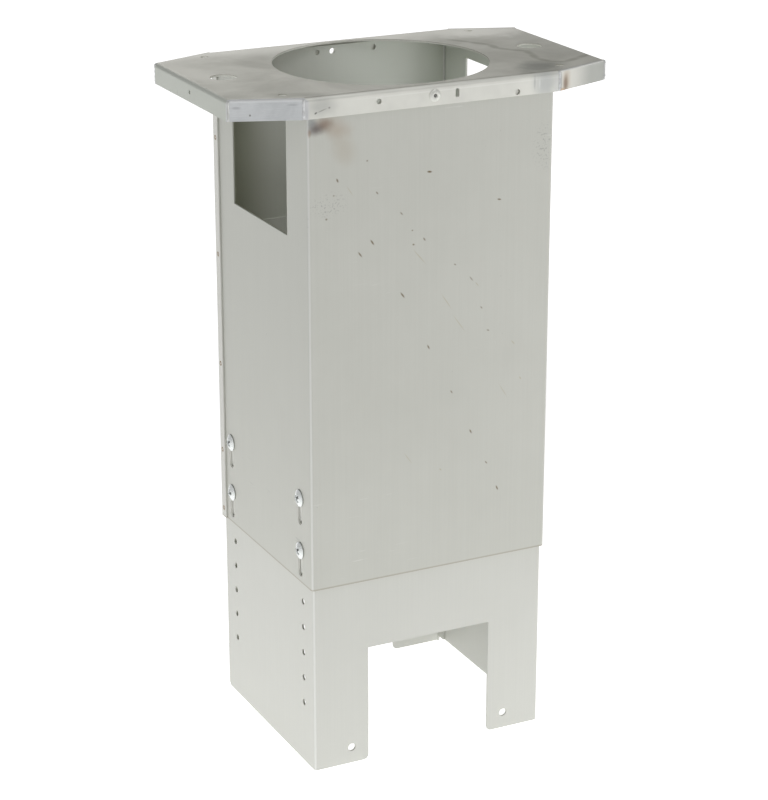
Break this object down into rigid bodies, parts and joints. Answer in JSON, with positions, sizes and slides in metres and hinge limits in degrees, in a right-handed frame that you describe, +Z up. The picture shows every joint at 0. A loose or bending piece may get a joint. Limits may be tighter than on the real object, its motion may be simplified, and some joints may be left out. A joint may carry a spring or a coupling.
{
  "type": "meter socket enclosure",
  "caption": "Adjustable sheet-steel pedestal: flanged top plate with a round meter opening on a tall windowed box, sliding over a footed lower sleeve held by slotted clamp screws.",
  "frame": {"origin": "on the floor under the middle of the enclosure, at the drawn height setting", "axes": "+Z up, front wall towards -Y, +X to the right when facing the front wall from outside"},
  "size_m": [0.3148, 0.1809, 0.5386],
  "materials": {
    "coated_sheet": "dull grey-green zinc-iron coated steel sheet with faint upright roll grain, scuffs and brown flecks",
    "plate_sheet": "semi-bright zinc-coated steel with cloudy heat marks and directional brushing",
    "ground_sheet": "bright bluish ground steel with fine sanding lines",
    "weld_metal": "rough silvery weld bead with dark edges",
    "rivet_steel": "dull zinc-plated steel",
    "zinc_screw": "bright zinc-plated steel with a faint blue-green passivate"
  },
  "bodies": {
    "lower_section": {"lower_front_wrap": "coated_sheet", "lower_rear_panel": "coated_sheet", "clamp_screw_left_front_low": "zinc_screw", "clamp_screw_left_front_high": "zinc_screw", "clamp_screw_left_rear_low": "zinc_screw", "clamp_screw_left_rear_high": "zinc_screw", "clamp_screw_right_front_low": "zinc_screw", "clamp_screw_right_front_high": "zinc_screw", "clamp_screw_right_rear_low": "zinc_screw", "clamp_screw_right_rear_high": "zinc_screw"},
    "upper_section": {"top_plate": "plate_sheet", "front_lip": "plate_sheet", "rear_lip": "plate_sheet", "end_lip_left": "plate_sheet", "end_lip_right": "plate_sheet", "corner_lip_front_left": "ground_sheet", "corner_lip_front_right": "ground_sheet", "corner_lip_rear_left": "ground_sheet", "corner_lip_rear_right": "ground_sheet", "corner_welds_front_left": "weld_metal", "corner_welds_front_right": "weld_metal", "corner_welds_rear_left": "weld_metal", "corner_welds_rear_right": "weld_metal", "plate_welds_left": "weld_metal", "plate_welds_right": "weld_metal", "upper_front_wrap": "coated_sheet", "upper_rear_panel": "coated_sheet", "upper_rear_flange_left": "coated_sheet", "upper_rear_flange_right": "coated_sheet", "lip_rivet": "rivet_steel"}
  },
  "joints": [
    {"name": "height_slide", "type": "slide", "parent": "lower_section", "child": "upper_section", "axis": [0, 0, 1], "range_m": [-0.0034, 0.0182]}
  ]
}
